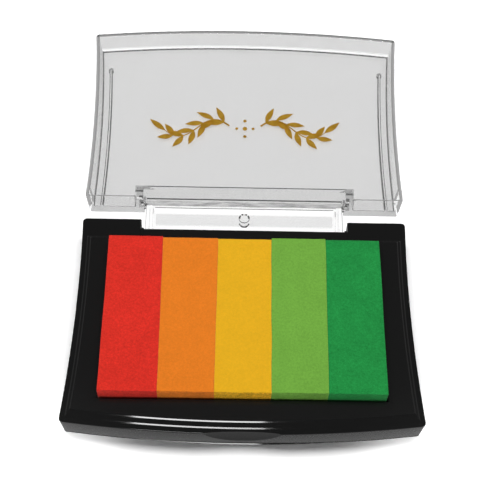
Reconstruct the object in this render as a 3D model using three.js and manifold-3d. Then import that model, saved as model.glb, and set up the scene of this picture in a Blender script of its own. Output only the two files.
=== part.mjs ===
// Five-colour ink pad with a clear lid that folds flat behind the tray.
//
// The tray is black moulded plastic with a bowed front, hollow sides and a straight back.
// Five raised foam pads stand through one window in its deck, each on its own carrier.
// A clear link with a round rod at each end joins the tray to the lid, so there are two
// parallel pivots. The lid is drawn open, lying on its outer face on the table.
//
// Millimetres, +Z up, the front of the tray towards -Y and the lid towards +Y.
// The origin is the centre of the tray's underside.

import * as THREE from "three";
import Module from "manifold-3d";
import { mergeVertices } from "three/addons/utils/BufferGeometryUtils.js";

const wasm = await Module();
wasm.setup();

// Outline in plan.
const frontWidth = 98.0; // between the two front corners
const backWidth = 95.0; // along the straight back edge
const sideLength = 64.1; // from the line through the front corners to the back edge
const frontBow = 2.8; // how far the front edge bows out past its corners
const sideHollow = 1.1; // how far each side curves in at its middle
const cornerRadius = 1.2;

// Tray.
const lipHeight = 9.2; // table to the lip that the lid's rim sits over
const trayDraft = 0.9; // how far the wall leans in from the lip down to the table
const footChamfer = 0.35;
const lipRound = 0.45; // rounding along the lip's outer edge
const stepRise = 0.35; // each of the two steps up to the raised middle
const stepChamfer = 0.25;
const frontBand = 1.7; // width of the lower step at the front
const sideBand = 0.9; // and at the sides
const backShelf = 6.2; // flat shelf behind the raised middle
const backBand = 0.5;
const trayWall = 1.7;
const deckThickness = 1.4; // under the lip

// Thumb scoop in the front wall.
const scoopWidth = 21.0;
const scoopDepth = 0.8;
const scoopHeight = 3.3;

// Floor plate under the tray.
const floorThickness = 1.5;
const floorClearance = 0.3;

// Pads and their carriers.
const padColours = [
  ["red", 0xd83126],
  ["orange", 0xe57d24],
  ["yellow", 0xe5ad22],
  ["lime", 0x71a842],
  ["green", 0x238a42],
];
const padWidth = 15.2;
const padGap = 0.3;
const padLength = 48.0;
const padSetback = 6.95; // from the line through the front corners to the pads
const padStand = 3.9; // height of the pads above the raised middle
const foamThickness = 6.4;
const windowClearance = 0.4; // round the block of pads
const carrierTop = 1.5;
const carrierLeg = 1.2;
const carrierReach = 2.0; // how far a carrier runs on under the deck at each end
const foamGap = 0.3; // bond line between foam and carrier

// Hinge.
const notchWidth = 60.6; // in the back edge of tray and lid alike
const notchDepth = 3.4;
const notchWall = 1.3;
const axisInset = 1.6; // from the back edge to the pivot line
const axisHeight = 3.8; // of both pivot lines above the table
const rodRadius = 1.5;
const pinRadius = 1.0;
const pinLength = 1.9;
const boreClearance = 0.3;
const bossRadius = 2.0;
const bossProud = 0.5; // how far a boss stands into the notch
const linkClearance = 0.3; // between the link and a boss
const cheekThickness = 1.9; // tray wall beside its notch
const webUnder = 1.45; // from the pivot lines down to the link's underside
const webTop = 0.3; // from the pivot lines down to the top of the link's web
const blockTop = 0.9; // from the pivot lines up to the top of its end blocks
const blockLength = 2.2;
const panelSink = 0.15; // depth of the shallow panel in the web
const panelSideMargin = 2.5;
const panelRodMargin = 2.9; // from each pivot line to the panel
const gateRingRadius = 1.6; // moulding mark on the link
const gateRingWidth = 0.35;
const gateRingHeight = 0.25;
const gateRingOffset = 0.65; // from the web's middle towards the lid

// Lid.
const lidHeight = 8.75;
const lidPlate = 1.6;
const lidRim = 1.1; // wall thickness at the rim
const lidDraft = 0.5; // outer lean from the rim down to the plate
const lidInnerDraft = 0.35;
const lidEdgeRound = 0.3;
const lidInnerRound = 0.8;
const rimClearance = 0.3; // between the lid's rim and the tray, beside it and under it
const earThickness = 2.5; // lid wall beside its notch
const ribInset = 3.8; // from the lid's side to the rib along it
const ribWidth = 0.9;
const ribHeight = 1.6;
const ribFrontGap = 9.8; // from the line through the lid's front corners to the rib's end
const ribEndRadius = 0.8;
const ribEndRise = 0.3; // how far the round end stands above the rib

// Finishes.
const black = { color: 0x1b1b1b, roughness: 0.28, metalness: 0 };
const clear = { color: 0xe6e8ea, roughness: 0.06, metalness: 0, transparent: true, opacity: 0.35 };
const foamRoughness = 0.95;

// Places that follow from the sizes.
const depth = sideLength + frontBow;
const frontY = -depth / 2;
const cornerY = frontY + frontBow;
const backY = depth / 2;

const lipWidth = lidRim + rimClearance;
const bandHeight = lipHeight + stepRise;
const deckHeight = bandHeight + stepRise;
const deckUnderside = lipHeight - deckThickness;
const padTop = deckHeight + padStand;
const foamBase = padTop - foamThickness;

const padPitch = padWidth + padGap;
const padBlockWidth = padColours.length * padPitch - padGap;
const padFrontY = cornerY + padSetback;
const padMiddleY = padFrontY + padLength / 2;

const closedHeight = lipHeight + rimClearance + lidHeight;
const trayAxisY = backY - axisInset;
const linkSpan = closedHeight - 2 * axisHeight;
const lidAxisY = trayAxisY + linkSpan;
const linkWidth = notchWidth - 2 * (bossProud + linkClearance);
const boreRadius = pinRadius + boreClearance;
const notchFrontY = backY - notchDepth;
const overshoot = 1; // how far a cutter runs past what it cuts

// Facets of the curved edges in plan.
const frontSteps = 40;
const sideSteps = 20;
const cornerSteps = 5;

// Solids.

function solid(geometry) {
  const bare = geometry.index ? geometry.toNonIndexed() : geometry.clone();
  for (const name of Object.keys(bare.attributes)) {
    if (name !== "position") bare.deleteAttribute(name);
  }
  const merged = mergeVertices(bare, 1e-4);
  const mesh = new wasm.Mesh({
    numProp: 3,
    vertProperties: new Float32Array(merged.attributes.position.array),
    triVerts: new Uint32Array(merged.index.array),
  });
  mesh.merge();
  return new wasm.Manifold(mesh);
}

function toMesh(name, body, finish) {
  const result = body.getMesh();
  const geometry = new THREE.BufferGeometry();
  geometry.setAttribute("position", new THREE.BufferAttribute(result.vertProperties, 3));
  geometry.setIndex(new THREE.BufferAttribute(result.triVerts, 1));
  geometry.computeVertexNormals();
  const mesh = new THREE.Mesh(geometry, new THREE.MeshStandardMaterial(finish));
  mesh.name = name;
  return mesh;
}

function box(x0, x1, y0, y1, z0, z1) {
  const geometry = new THREE.BoxGeometry(x1 - x0, y1 - y0, z1 - z0);
  geometry.translate((x0 + x1) / 2, (y0 + y1) / 2, (z0 + z1) / 2);
  return solid(geometry);
}

// A cylinder along X from x0 to x1.
function barX(radius, x0, x1, y, z, sides = 24) {
  const geometry = new THREE.CylinderGeometry(radius, radius, x1 - x0, sides);
  geometry.rotateZ(Math.PI / 2);
  geometry.translate((x0 + x1) / 2, y, z);
  return solid(geometry);
}

// The outline.

// Arc radius from its chord and its rise.
const arcRadius = (chord, rise) => (chord * chord / 4 + rise * rise) / (2 * rise);

const frontRadius = arcRadius(frontWidth, frontBow);
const frontCentre = new THREE.Vector2(0, frontY + frontRadius);
const sideFront = new THREE.Vector2(frontWidth / 2, cornerY);
const sideBack = new THREE.Vector2(backWidth / 2, backY);
const sideChord = sideFront.distanceTo(sideBack);
const sideRadius = arcRadius(sideChord, sideHollow);
const sideAlong = sideBack.clone().sub(sideFront).normalize();
const sideOut = new THREE.Vector2(sideAlong.y, -sideAlong.x);
const sideCentre = sideFront.clone().add(sideBack).multiplyScalar(0.5)
  .addScaledVector(sideOut, sideRadius - sideHollow);

// The point where two circles cross, on the side nearer to a given point.
function circlesMeet(c0, r0, c1, r1, near) {
  const between = c1.clone().sub(c0);
  const distance = between.length();
  const along = (r0 * r0 - r1 * r1 + distance * distance) / (2 * distance);
  const off = Math.sqrt(Math.max(0, r0 * r0 - along * along));
  const unit = between.divideScalar(distance);
  const foot = c0.clone().addScaledVector(unit, along);
  const normal = new THREE.Vector2(-unit.y, unit.x);
  const a = foot.clone().addScaledVector(normal, off);
  const b = foot.clone().addScaledVector(normal, -off);
  return a.distanceTo(near) < b.distanceTo(near) ? a : b;
}

// Points on an arc, both ends included.
function arcPoints(centre, from, to, steps) {
  const a0 = Math.atan2(from.y - centre.y, from.x - centre.x);
  let turn = Math.atan2(to.y - centre.y, to.x - centre.x) - a0;
  if (turn > Math.PI) turn -= 2 * Math.PI;
  if (turn < -Math.PI) turn += 2 * Math.PI;
  const r = centre.distanceTo(from);
  return Array.from({ length: steps + 1 }, (_, i) => {
    const angle = a0 + turn * i / steps;
    return new THREE.Vector2(centre.x + r * Math.cos(angle), centre.y + r * Math.sin(angle));
  });
}

// The outline drawn in from its front, sides and back, anticlockwise from the middle of the
// front. Every call gives the same number of points, so two outlines can be joined by a skin.
function outline({ front, side, back }, radius = cornerRadius) {
  const r = Math.max(radius - Math.min(front, side, back), 0.3);
  const frontFillet = circlesMeet(
    frontCentre, frontRadius - front - r, sideCentre, sideRadius + side + r, sideFront);
  const backLine = backY - back - r;
  const rise = backLine - sideCentre.y;
  const reach = sideRadius + side + r;
  const backFillet = new THREE.Vector2(
    sideCentre.x - Math.sqrt(reach * reach - rise * rise), backLine);

  const towards = (from, to, length) =>
    from.clone().addScaledVector(to.clone().sub(from).normalize(), length);
  const frontTouch = towards(frontFillet, frontCentre, -r);
  const sideTouchFront = towards(frontFillet, sideCentre, r);
  const sideTouchBack = towards(backFillet, sideCentre, r);
  const backTouch = new THREE.Vector2(backFillet.x, backLine + r);
  const frontMiddle = new THREE.Vector2(0, frontY + front);

  const half = [
    ...arcPoints(frontCentre, frontMiddle, frontTouch, frontSteps / 2),
    ...arcPoints(frontFillet, frontTouch, sideTouchFront, cornerSteps).slice(1),
    ...arcPoints(sideCentre, sideTouchFront, sideTouchBack, sideSteps).slice(1),
    ...arcPoints(backFillet, sideTouchBack, backTouch, cornerSteps).slice(1),
  ];
  const mirrored = half.slice(1).reverse().map((p) => new THREE.Vector2(-p.x, p.y));
  return [...half, ...mirrored];
}

const evenly = (inset) => ({ front: inset, side: inset, back: inset });

// A closed skin over a stack of outlines, with a flat cap on the first and the last.
// Each level is [height, insets]. The first cap faces down. The last faces up, or if the
// skin has turned over its rim and come down again, it is the floor of the hollow inside.
function skin(levels) {
  const rings = levels.map(([z, insets]) =>
    outline(insets).map((p) => new THREE.Vector3(p.x, p.y, z)));
  const count = rings[0].length;
  const points = rings.flat();
  const index = [];
  for (let ring = 0; ring + 1 < rings.length; ring += 1) {
    for (let i = 0; i < count; i += 1) {
      const next = (i + 1) % count;
      const a = ring * count + i;
      const b = ring * count + next;
      const c = a + count;
      const d = b + count;
      index.push(a, b, d);
      index.push(a, d, c);
    }
  }
  const cap = (ring, flip) => {
    const flat = rings[ring].map((p) => new THREE.Vector2(p.x, p.y));
    for (const [i, j, k] of THREE.ShapeUtils.triangulateShape(flat, [])) {
      const base = ring * count;
      if (flip) index.push(base + k, base + j, base + i);
      else index.push(base + i, base + j, base + k);
    }
  };
  cap(0, true);
  cap(rings.length - 1, false);
  const geometry = new THREE.BufferGeometry();
  geometry.setAttribute("position",
    new THREE.Float32BufferAttribute(points.flatMap((p) => [p.x, p.y, p.z]), 3));
  geometry.setIndex(index);
  return solid(geometry);
}

// Levels of a quarter-round edge. It starts at the wall and ends on the flat.
function roundedEdge(z, inset, radius, up, steps = 4) {
  return Array.from({ length: steps + 1 }, (_, i) => {
    const angle = Math.PI / 2 * i / steps;
    const drop = radius * (1 - Math.sin(angle));
    return [z - up * drop, evenly(inset + radius * (1 - Math.cos(angle)))];
  });
}

// Hinge notch, shared by tray and lid.

const notchHalf = notchWidth / 2;

function notchCutter(height) {
  return box(-notchHalf, notchHalf, notchFrontY, backY + overshoot, -overshoot, height + overshoot);
}

// The block of material round the notch, before the notch is cut.
function notchSurround(side, height, envelope) {
  const half = notchHalf + side;
  return box(-half, half, notchFrontY - notchWall, backY + overshoot, -overshoot, height + overshoot)
    .intersect(envelope);
}

// Bosses and pin bores on one pivot line, cut into a body that has its notch.
function withPivots(body, z, wall, envelope) {
  let result = body;
  for (const side of [-1, 1]) {
    const inner = notchHalf - bossProud;
    const outer = notchHalf + wall / 2;
    const [x0, x1] = side > 0 ? [inner, outer] : [-outer, -inner];
    result = result.add(barX(bossRadius, x0, x1, trayAxisY, z).intersect(envelope));
    const boreEnd = linkWidth / 2 + pinLength + boreClearance;
    const [b0, b1] = side > 0 ? [inner - overshoot, boreEnd] : [-boreEnd, overshoot - inner];
    result = result.subtract(barX(boreRadius, b0, b1, trayAxisY, z));
  }
  return result;
}

// Tray.

const trayWallFoot = [
  [0, evenly(trayDraft + footChamfer)],
  [footChamfer, evenly(trayDraft)],
];
const trayEdge = roundedEdge(lipHeight, 0, lipRound, 1);

function buildTray() {
  const step1 = { front: lipWidth, side: lipWidth, back: backShelf };
  const step1Top = {
    front: lipWidth + stepChamfer,
    side: lipWidth + stepChamfer,
    back: backShelf + stepChamfer / 2,
  };
  const step2 = {
    front: lipWidth + frontBand,
    side: lipWidth + sideBand,
    back: backShelf + backBand,
  };
  const step2Top = {
    front: step2.front + stepChamfer,
    side: step2.side + stepChamfer,
    back: step2.back + stepChamfer,
  };
  const envelope = skin([
    ...trayWallFoot,
    ...trayEdge,
    [lipHeight, step1],
    [bandHeight - stepChamfer, step1],
    [bandHeight, step1Top],
    [bandHeight, step2],
    [deckHeight - stepChamfer, step2],
    [deckHeight, step2Top],
  ]);

  const hollow = skin([
    [-overshoot, evenly(trayDraft + trayWall)],
    [0, evenly(trayDraft + trayWall)],
    [deckUnderside, evenly(trayWall)],
  ]);

  let tray = envelope.subtract(hollow);
  tray = tray.add(notchSurround(cheekThickness, deckHeight, envelope));
  tray = tray.subtract(notchCutter(deckHeight));
  tray = withPivots(tray, axisHeight, cheekThickness, envelope);

  const windowHalf = padBlockWidth / 2 + windowClearance;
  tray = tray.subtract(box(
    -windowHalf, windowHalf,
    padFrontY - windowClearance, padFrontY + padLength + windowClearance,
    deckUnderside - overshoot, padTop));

  const scoop = new THREE.SphereGeometry(1, 40, 20);
  scoop.scale(scoopWidth / 2, scoopDepth, scoopHeight);
  scoop.translate(0, frontY, lipHeight);
  tray = tray.subtract(solid(scoop));
  return toMesh("base_tray", tray, black);
}

function buildFloor() {
  const inset = trayDraft + trayWall + floorClearance;
  const plate = skin([
    [0, evenly(inset)],
    [floorThickness, evenly(inset)],
  ]);
  const half = notchHalf + cheekThickness + floorClearance;
  const cut = box(-half, half,
    notchFrontY - notchWall - floorClearance, backY + overshoot, -overshoot, floorThickness + overshoot);
  return toMesh("base_floor", plate.subtract(cut), black);
}

// Pads.

function padMiddleX(i) {
  return (i - (padColours.length - 1) / 2) * padPitch;
}

function buildPad(i) {
  const [name, colour] = padColours[i];
  const body = box(-padWidth / 2, padWidth / 2, -padLength / 2, padLength / 2, 0, foamThickness);
  const mesh = toMesh(`pad_${name}`, body, { color: colour, roughness: foamRoughness, metalness: 0 });
  mesh.position.set(padMiddleX(i), padMiddleY, foamBase);
  return mesh;
}

// An upside-down channel that stands on the floor plate and holds one pad up.
function buildCarrier(i) {
  const [name] = padColours[i];
  const height = foamBase - foamGap - floorThickness - floorClearance;
  const half = padWidth / 2;
  const profile = new THREE.Shape([
    new THREE.Vector2(-half, 0),
    new THREE.Vector2(-half + carrierLeg, 0),
    new THREE.Vector2(-half + carrierLeg, height - carrierTop),
    new THREE.Vector2(half - carrierLeg, height - carrierTop),
    new THREE.Vector2(half - carrierLeg, 0),
    new THREE.Vector2(half, 0),
    new THREE.Vector2(half, height),
    new THREE.Vector2(-half, height),
  ]);
  const length = padLength + 2 * carrierReach;
  const geometry = new THREE.ExtrudeGeometry(profile, { depth: length, bevelEnabled: false });
  geometry.rotateX(Math.PI / 2);
  geometry.translate(0, length / 2, 0);
  const mesh = toMesh(`carrier_${name}`, solid(geometry), black);
  mesh.position.set(padMiddleX(i), padMiddleY, floorThickness + floorClearance);
  return mesh;
}

// Hinge link.

// A flat web between the pivot lines, with a whole rod along the lid's, the lower part of one
// along the tray's, and a thicker block at each end that carries the pins.
function buildLink() {
  const half = linkWidth / 2;
  const under = axisHeight - webUnder;
  const top = axisHeight - webTop;
  const trayEdge = barX(rodRadius, -half, half, trayAxisY, axisHeight)
    .intersect(box(-half, half, trayAxisY - notchDepth, lidAxisY, 0, top));
  let link = box(-half, half, trayAxisY, lidAxisY, under, top)
    .add(trayEdge)
    .add(barX(rodRadius, -half, half, lidAxisY, axisHeight));
  const panelX = half - panelSideMargin;
  link = link.subtract(box(-panelX, panelX, trayAxisY + panelRodMargin, lidAxisY - panelRodMargin,
    top - panelSink, axisHeight));
  for (const side of [-1, 1]) {
    const ends = [side * (half - blockLength), side * half];
    const x0 = Math.min(...ends);
    const x1 = Math.max(...ends);
    link = link.add(box(x0, x1, trayAxisY, lidAxisY, under, axisHeight + blockTop));
    link = link.add(barX(rodRadius, x0, x1, trayAxisY, axisHeight));
  }
  for (const y of [trayAxisY, lidAxisY]) {
    link = link.add(barX(pinRadius, -half - pinLength, half + pinLength, y, axisHeight));
  }
  const ringBase = top - panelSink - gateRingHeight;
  const ringTop = top - panelSink + gateRingHeight;
  const inner = gateRingRadius - gateRingWidth;
  const ring = new THREE.LatheGeometry([
    new THREE.Vector2(inner, ringBase),
    new THREE.Vector2(gateRingRadius, ringBase),
    new THREE.Vector2(gateRingRadius, ringTop),
    new THREE.Vector2(inner, ringTop),
    new THREE.Vector2(inner, ringBase),
  ], 28);
  ring.rotateX(Math.PI / 2);
  ring.translate(0, (trayAxisY + lidAxisY) / 2 + gateRingOffset, 0);
  link = link.add(solid(ring));
  return toMesh("hinge_link", link, clear);
}

// Lid.

// Built with its back edge where the tray's is and its rim up, then turned round to lie
// open behind the tray.
function buildLid() {
  const outerLevels = [
    ...roundedEdge(0, lidDraft, lidEdgeRound, -1).reverse(),
    [lidHeight, evenly(0)],
  ];
  const innerWall = lidRim + lidInnerDraft;
  const envelope = skin(outerLevels);
  const shell = skin([
    ...outerLevels,
    [lidHeight, evenly(lidRim)],
    ...roundedEdge(lidPlate, innerWall, lidInnerRound, -1),
  ]);
  let lid = shell.add(notchSurround(earThickness, lidHeight, envelope));

  const ribTop = lidPlate + ribHeight;
  const ribRoot = lidPlate / 2;
  const ribStart = cornerY + ribFrontGap;
  const ribOuter = { front: ribInset, side: ribInset, back: lidRim / 2 };
  const ribInner = { front: ribInset + ribWidth, side: ribInset + ribWidth, back: -overshoot };
  const ribs = skin([
    [ribRoot, ribOuter],
    [ribTop, ribOuter],
  ]).subtract(skin([
    [ribRoot - overshoot, ribInner],
    [ribTop + overshoot, ribInner],
  ])).intersect(box(-frontWidth, frontWidth, ribStart, backY, 0, lidHeight));
  lid = lid.add(ribs);

  const ribMiddle = sideRadius + ribInset + ribWidth / 2;
  const fromCentre = ribStart - sideCentre.y;
  const ribEndX = sideCentre.x - Math.sqrt(ribMiddle * ribMiddle - fromCentre * fromCentre);
  for (const side of [-1, 1]) {
    const top = ribTop + ribEndRise;
    const end = new THREE.CylinderGeometry(ribEndRadius, ribEndRadius, top - ribRoot, 16);
    end.rotateX(Math.PI / 2);
    end.translate(side * ribEndX, ribStart, (top + ribRoot) / 2);
    lid = lid.add(solid(end));
  }

  lid = lid.subtract(notchCutter(lidHeight));
  lid = withPivots(lid, axisHeight, earThickness, envelope);
  const mesh = toMesh("lid", lid, clear);
  mesh.rotation.z = Math.PI;
  mesh.position.y = trayAxisY + lidAxisY;
  return mesh;
}

// The whole object.

const group = new THREE.Group();
group.add(buildTray());
group.add(buildFloor());
padColours.forEach((_, i) => {
  group.add(buildCarrier(i));
  group.add(buildPad(i));
});
group.add(buildLink());
group.add(buildLid());

export default group;
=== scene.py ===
# Ink pad with five raised foam pads and a clear lid, opened out on a pale table.
# Lengths are metres. X runs to the right, Y from the tray's bowed front to the lid, Z up.

import math

import bmesh
import bpy
import numpy as np
from mathutils import Matrix, Vector


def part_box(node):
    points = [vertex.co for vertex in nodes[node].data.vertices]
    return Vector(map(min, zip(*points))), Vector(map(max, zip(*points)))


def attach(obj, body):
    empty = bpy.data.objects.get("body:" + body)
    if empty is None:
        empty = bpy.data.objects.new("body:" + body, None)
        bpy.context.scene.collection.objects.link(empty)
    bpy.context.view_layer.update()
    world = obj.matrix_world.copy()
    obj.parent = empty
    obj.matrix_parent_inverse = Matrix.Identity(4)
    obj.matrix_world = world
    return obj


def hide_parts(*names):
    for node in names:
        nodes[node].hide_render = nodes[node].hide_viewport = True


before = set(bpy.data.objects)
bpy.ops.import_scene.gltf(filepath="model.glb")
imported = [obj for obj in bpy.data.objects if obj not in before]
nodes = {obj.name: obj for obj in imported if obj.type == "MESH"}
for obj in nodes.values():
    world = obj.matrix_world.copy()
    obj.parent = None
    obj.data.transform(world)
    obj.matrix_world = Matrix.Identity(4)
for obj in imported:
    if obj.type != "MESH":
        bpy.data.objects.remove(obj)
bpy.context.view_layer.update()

MM = 0.001

# Plan of the tray, which the lid repeats.
FRONT_WIDTH = 98.0 * MM
BACK_WIDTH = 95.0 * MM
SIDE_LENGTH = 64.1 * MM
FRONT_BOW = 2.8 * MM
SIDE_HOLLOW = 1.1 * MM
CORNER_RADIUS = 1.2 * MM
SMALLEST_RADIUS = 0.3 * MM

# Tray, from the table up.
LIP_HEIGHT = 9.2 * MM
TRAY_DRAFT = 0.9 * MM
SIDE_DRAFT = 0.3 * MM
FRONT_FULLNESS = 0.3 * MM
FOOT_CHAMFER = 0.35 * MM
LIP_ROUND = 0.45 * MM
STEP_RISE = 0.35 * MM
STEP_SLOPE = math.radians(42)
LOWER_SLOPE = math.radians(40.6)
FOOT_SLOPE = math.radians(38.75)
STEP_BLEND = 0.12 * MM
FOOT_BEAD = 0.25 * MM
FOOT_BEAD_REACH = 21.0 * MM
SMALLEST_BEAD = 0.05
FOOT_BLEND = 0.03 * MM
FOOT_BEAD_TOP = 0.12 * MM
LIP_WIDTH = 1.4 * MM
FRONT_BAND = 1.7 * MM
SIDE_BAND = 0.9 * MM
BACK_SHELF = 6.2 * MM
BACK_BAND = 0.5 * MM
TRAY_WALL = 1.7 * MM
DECK_THICKNESS = 1.4 * MM
WINDOW_CLEARANCE = 0.4 * MM
WINDOW_ROUND = 0.2 * MM
SCOOP_WIDTH = 21.0 * MM
SCOOP_DEPTH = 0.8 * MM
SCOOP_HEIGHT = 9.5 * MM

# Hinge.
NOTCH_WIDTH = 60.6 * MM
NOTCH_DEPTH = 3.4 * MM
NOTCH_WALL = 1.3 * MM
NOTCH_FILLET = 0.25 * MM
TRAY_CHEEK = 1.9 * MM
LID_EAR = 2.5 * MM
AXIS_INSET = 1.6 * MM
AXIS_HEIGHT = 3.8 * MM
ROD_RADIUS = 1.5 * MM
PIN_RADIUS = 1.0 * MM
PIN_LENGTH = 1.9 * MM
PIN_ROOT = 0.3 * MM
BORE_CLEARANCE = 0.3 * MM
BOSS_RADIUS = 2.0 * MM
BOSS_PROUD = 0.5 * MM
LINK_CLEARANCE = 0.3 * MM
WEB_UNDER = 1.45 * MM
WEB_TOP = 0.3 * MM
BLOCK_TOP = 0.9 * MM
BLOCK_LENGTH = 2.2 * MM
BLOCK_EDGE = 1.5 * MM
PANEL_SINK = 0.15 * MM
PANEL_SIDE_MARGIN = 2.5 * MM
PANEL_ROD_MARGIN = 2.9 * MM
PANEL_EDGE = 0.7 * MM
GATE_RING_RADIUS = 1.6 * MM
GATE_RING_WIDTH = 0.35 * MM
GATE_RING_HEIGHT = 0.25 * MM
GATE_RING_OFFSET = 0.65 * MM
GATE_RING_UNDER = 1.2 * MM

# Lid, as it is with its plate on the table and its rim up.
LID_HEIGHT = 8.75 * MM
LID_PLATE = 1.6 * MM
LID_RIM = 1.1 * MM
LID_DRAFT = 0.5 * MM
LID_INNER_DRAFT = 0.35 * MM
LID_EDGE_ROUND = 0.3 * MM
LID_INNER_ROUND = 0.8 * MM
LID_RIM_ROUND = 0.2 * MM
RIM_LINE = 0.25 * MM
RIM_CLEARANCE = 0.3 * MM
RIB_INSET = 3.8 * MM
RIB_WIDTH = 0.9 * MM
RIB_HEIGHT = 1.6 * MM
RIB_ROUND = 0.28 * MM
RIB_FRONT_GAP = 9.8 * MM
RIB_END_RADIUS = 0.8 * MM
RIB_END_RISE = 0.3 * MM

# Pads: the colour of the ink, its grain on top and on the cut sides, and how much taller and
# longer at the back each one is than its even size, in millimetres. Where two touch, the line
# between them wanders a little.
PADS = {
    "red": ((0.68, 0.031, 0.02), 1.1, 1.3, 0.08, 0.3),
    "orange": ((0.78, 0.205, 0.018), 0.5, 1.3, 0.0, 0.0),
    "yellow": ((0.78, 0.42, 0.016), 0.4, 2.6, -0.05, -0.2),
    "lime": ((0.165, 0.392, 0.055), 0.8, 1.6, 0.1, 0.2),
    "green": ((0.017, 0.254, 0.054), 1.4, 1.3, 0.0, 0.0),
}
PAD_EDGE_ROUND = 0.12 * MM
PAD_TOUCH = 0.004 * MM

# Places that follow from the sizes.
DEPTH = SIDE_LENGTH + FRONT_BOW
FRONT_Y = -DEPTH / 2
CORNER_Y = FRONT_Y + FRONT_BOW
BACK_Y = DEPTH / 2
BAND_HEIGHT = LIP_HEIGHT + STEP_RISE
DECK_HEIGHT = BAND_HEIGHT + STEP_RISE
DECK_UNDERSIDE = LIP_HEIGHT - DECK_THICKNESS
TRAY_AXIS_Y = BACK_Y - AXIS_INSET
LINK_SPAN = LIP_HEIGHT + RIM_CLEARANCE + LID_HEIGHT - 2 * AXIS_HEIGHT
LID_AXIS_Y = TRAY_AXIS_Y + LINK_SPAN
NOTCH_HALF = NOTCH_WIDTH / 2
NOTCH_FRONT_Y = BACK_Y - NOTCH_DEPTH
LINK_HALF = NOTCH_HALF - BOSS_PROUD - LINK_CLEARANCE

# Faces that meet at a greater angle than this keep a sharp line.
SMOOTH_ANGLE = math.radians(34)


# Curves in plan.

def arc_radius(chord, rise):
    """Radius of the arc that stands so far over its chord."""
    return (chord * chord / 4 + rise * rise) / (2 * rise)


FRONT_RADIUS = arc_radius(FRONT_WIDTH, FRONT_BOW)
FRONT_CENTRE = np.array([0.0, FRONT_Y + FRONT_RADIUS])
SIDE_FRONT = np.array([FRONT_WIDTH / 2, CORNER_Y])
SIDE_BACK = np.array([BACK_WIDTH / 2, BACK_Y])
SIDE_CHORD = SIDE_BACK - SIDE_FRONT
SIDE_RADIUS = arc_radius(np.hypot(*SIDE_CHORD), SIDE_HOLLOW)
SIDE_OUT = np.array([SIDE_CHORD[1], -SIDE_CHORD[0]]) / np.hypot(*SIDE_CHORD)
SIDE_CENTRE = (SIDE_FRONT + SIDE_BACK) / 2 + SIDE_OUT * (SIDE_RADIUS - SIDE_HOLLOW)

FRONT_STEPS = 110
CORNER_STEPS = 10
SIDE_STEPS = 50
BACK_STEPS = 12
FILLET_STEPS = 4
NOTCH_STEPS = 3
NOTCH_FRONT_STEPS = 20


def circles_meet(c0, r0, c1, r1, near):
    """The crossing of two circles that lies nearer to a point."""
    between = c1 - c0
    distance = np.hypot(*between)
    unit = between / distance
    along = (r0 * r0 - r1 * r1 + distance * distance) / (2 * distance)
    off = math.sqrt(max(0.0, r0 * r0 - along * along))
    foot = c0 + unit * along
    normal = np.array([-unit[1], unit[0]])
    return min((foot + normal * off, foot - normal * off), key=lambda p: np.hypot(*(p - near)))


def arc(centre, start, end, steps):
    """Points at even angles about a centre, from start round to end by the shorter way."""
    a0 = math.atan2(start[1] - centre[1], start[0] - centre[0])
    a1 = math.atan2(end[1] - centre[1], end[0] - centre[0])
    turn = (a1 - a0 + math.pi) % (2 * math.pi) - math.pi
    angles = a0 + turn * np.linspace(0, 1, steps + 1)
    radius = np.hypot(start[0] - centre[0], start[1] - centre[1])
    return np.stack([centre[0] + radius * np.cos(angles), centre[1] + radius * np.sin(angles)], 1)


def straight(start, end, steps):
    """Points at even steps on the line from start to end."""
    return np.linspace(start, end, steps + 1)


def chain(*runs):
    """Runs of points that each start where the last ended, as one run."""
    return np.concatenate([runs[0]] + [run[1:] for run in runs[1:]])


def back_run(start, notch):
    """From the back corner to the middle of the back, through half of the hinge notch if there
    is one. Without a notch the same number of points lie along the straight edge."""
    line = start[1]
    half, floor = notch or (NOTCH_HALF, line)
    r = NOTCH_FILLET
    outer = straight(start, (half + r, line), BACK_STEPS)
    if notch:
        across = chain(
            arc((half + r, line - r), (half + r, line), (half, line - r), FILLET_STEPS),
            straight((half, line - r), (half, floor + r), NOTCH_STEPS),
            arc((half - r, floor + r), (half, floor + r), (half - r, floor), FILLET_STEPS),
        )
    else:
        across = straight((half + r, line), (half - r, line), 2 * FILLET_STEPS + NOTCH_STEPS)
    return chain(outer, across, straight((half - r, floor), (0.0, floor), NOTCH_FRONT_STEPS))


def mirrored(half):
    """A closed outline from its right half, anticlockwise from the middle of the front."""
    return np.concatenate([half, half[-2:0:-1] * (-1, 1)])


def plan(front, side, back, notch=None):
    """The bowed outline drawn in from its front, sides and back: an arc for the front, an arc
    for each side, a straight back, and a fillet at each corner."""
    r = max(CORNER_RADIUS - min(front, side, back), SMALLEST_RADIUS)
    reach = SIDE_RADIUS + side + r
    fillet = circles_meet(FRONT_CENTRE, FRONT_RADIUS - front - r, SIDE_CENTRE, reach, SIDE_FRONT)
    back_line = BACK_Y - back - r
    rise = back_line - SIDE_CENTRE[1]
    back_fillet = np.array([SIDE_CENTRE[0] - math.sqrt(reach * reach - rise * rise), back_line])

    def towards(start, end, length):
        """The point so far from start on the line to end."""
        return start + (end - start) / np.hypot(*(end - start)) * length

    front_touch = towards(fillet, FRONT_CENTRE, -r)
    side_touch = towards(fillet, SIDE_CENTRE, r)
    side_end = towards(back_fillet, SIDE_CENTRE, r)
    back_touch = back_fillet + (0, r)
    return mirrored(chain(
        arc(FRONT_CENTRE, (0.0, FRONT_Y + front), front_touch, FRONT_STEPS),
        arc(fillet, front_touch, side_touch, CORNER_STEPS),
        arc(SIDE_CENTRE, side_touch, side_end, SIDE_STEPS),
        arc(back_fillet, side_end, back_touch, CORNER_STEPS),
        back_run(back_touch, notch),
    ))


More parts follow.
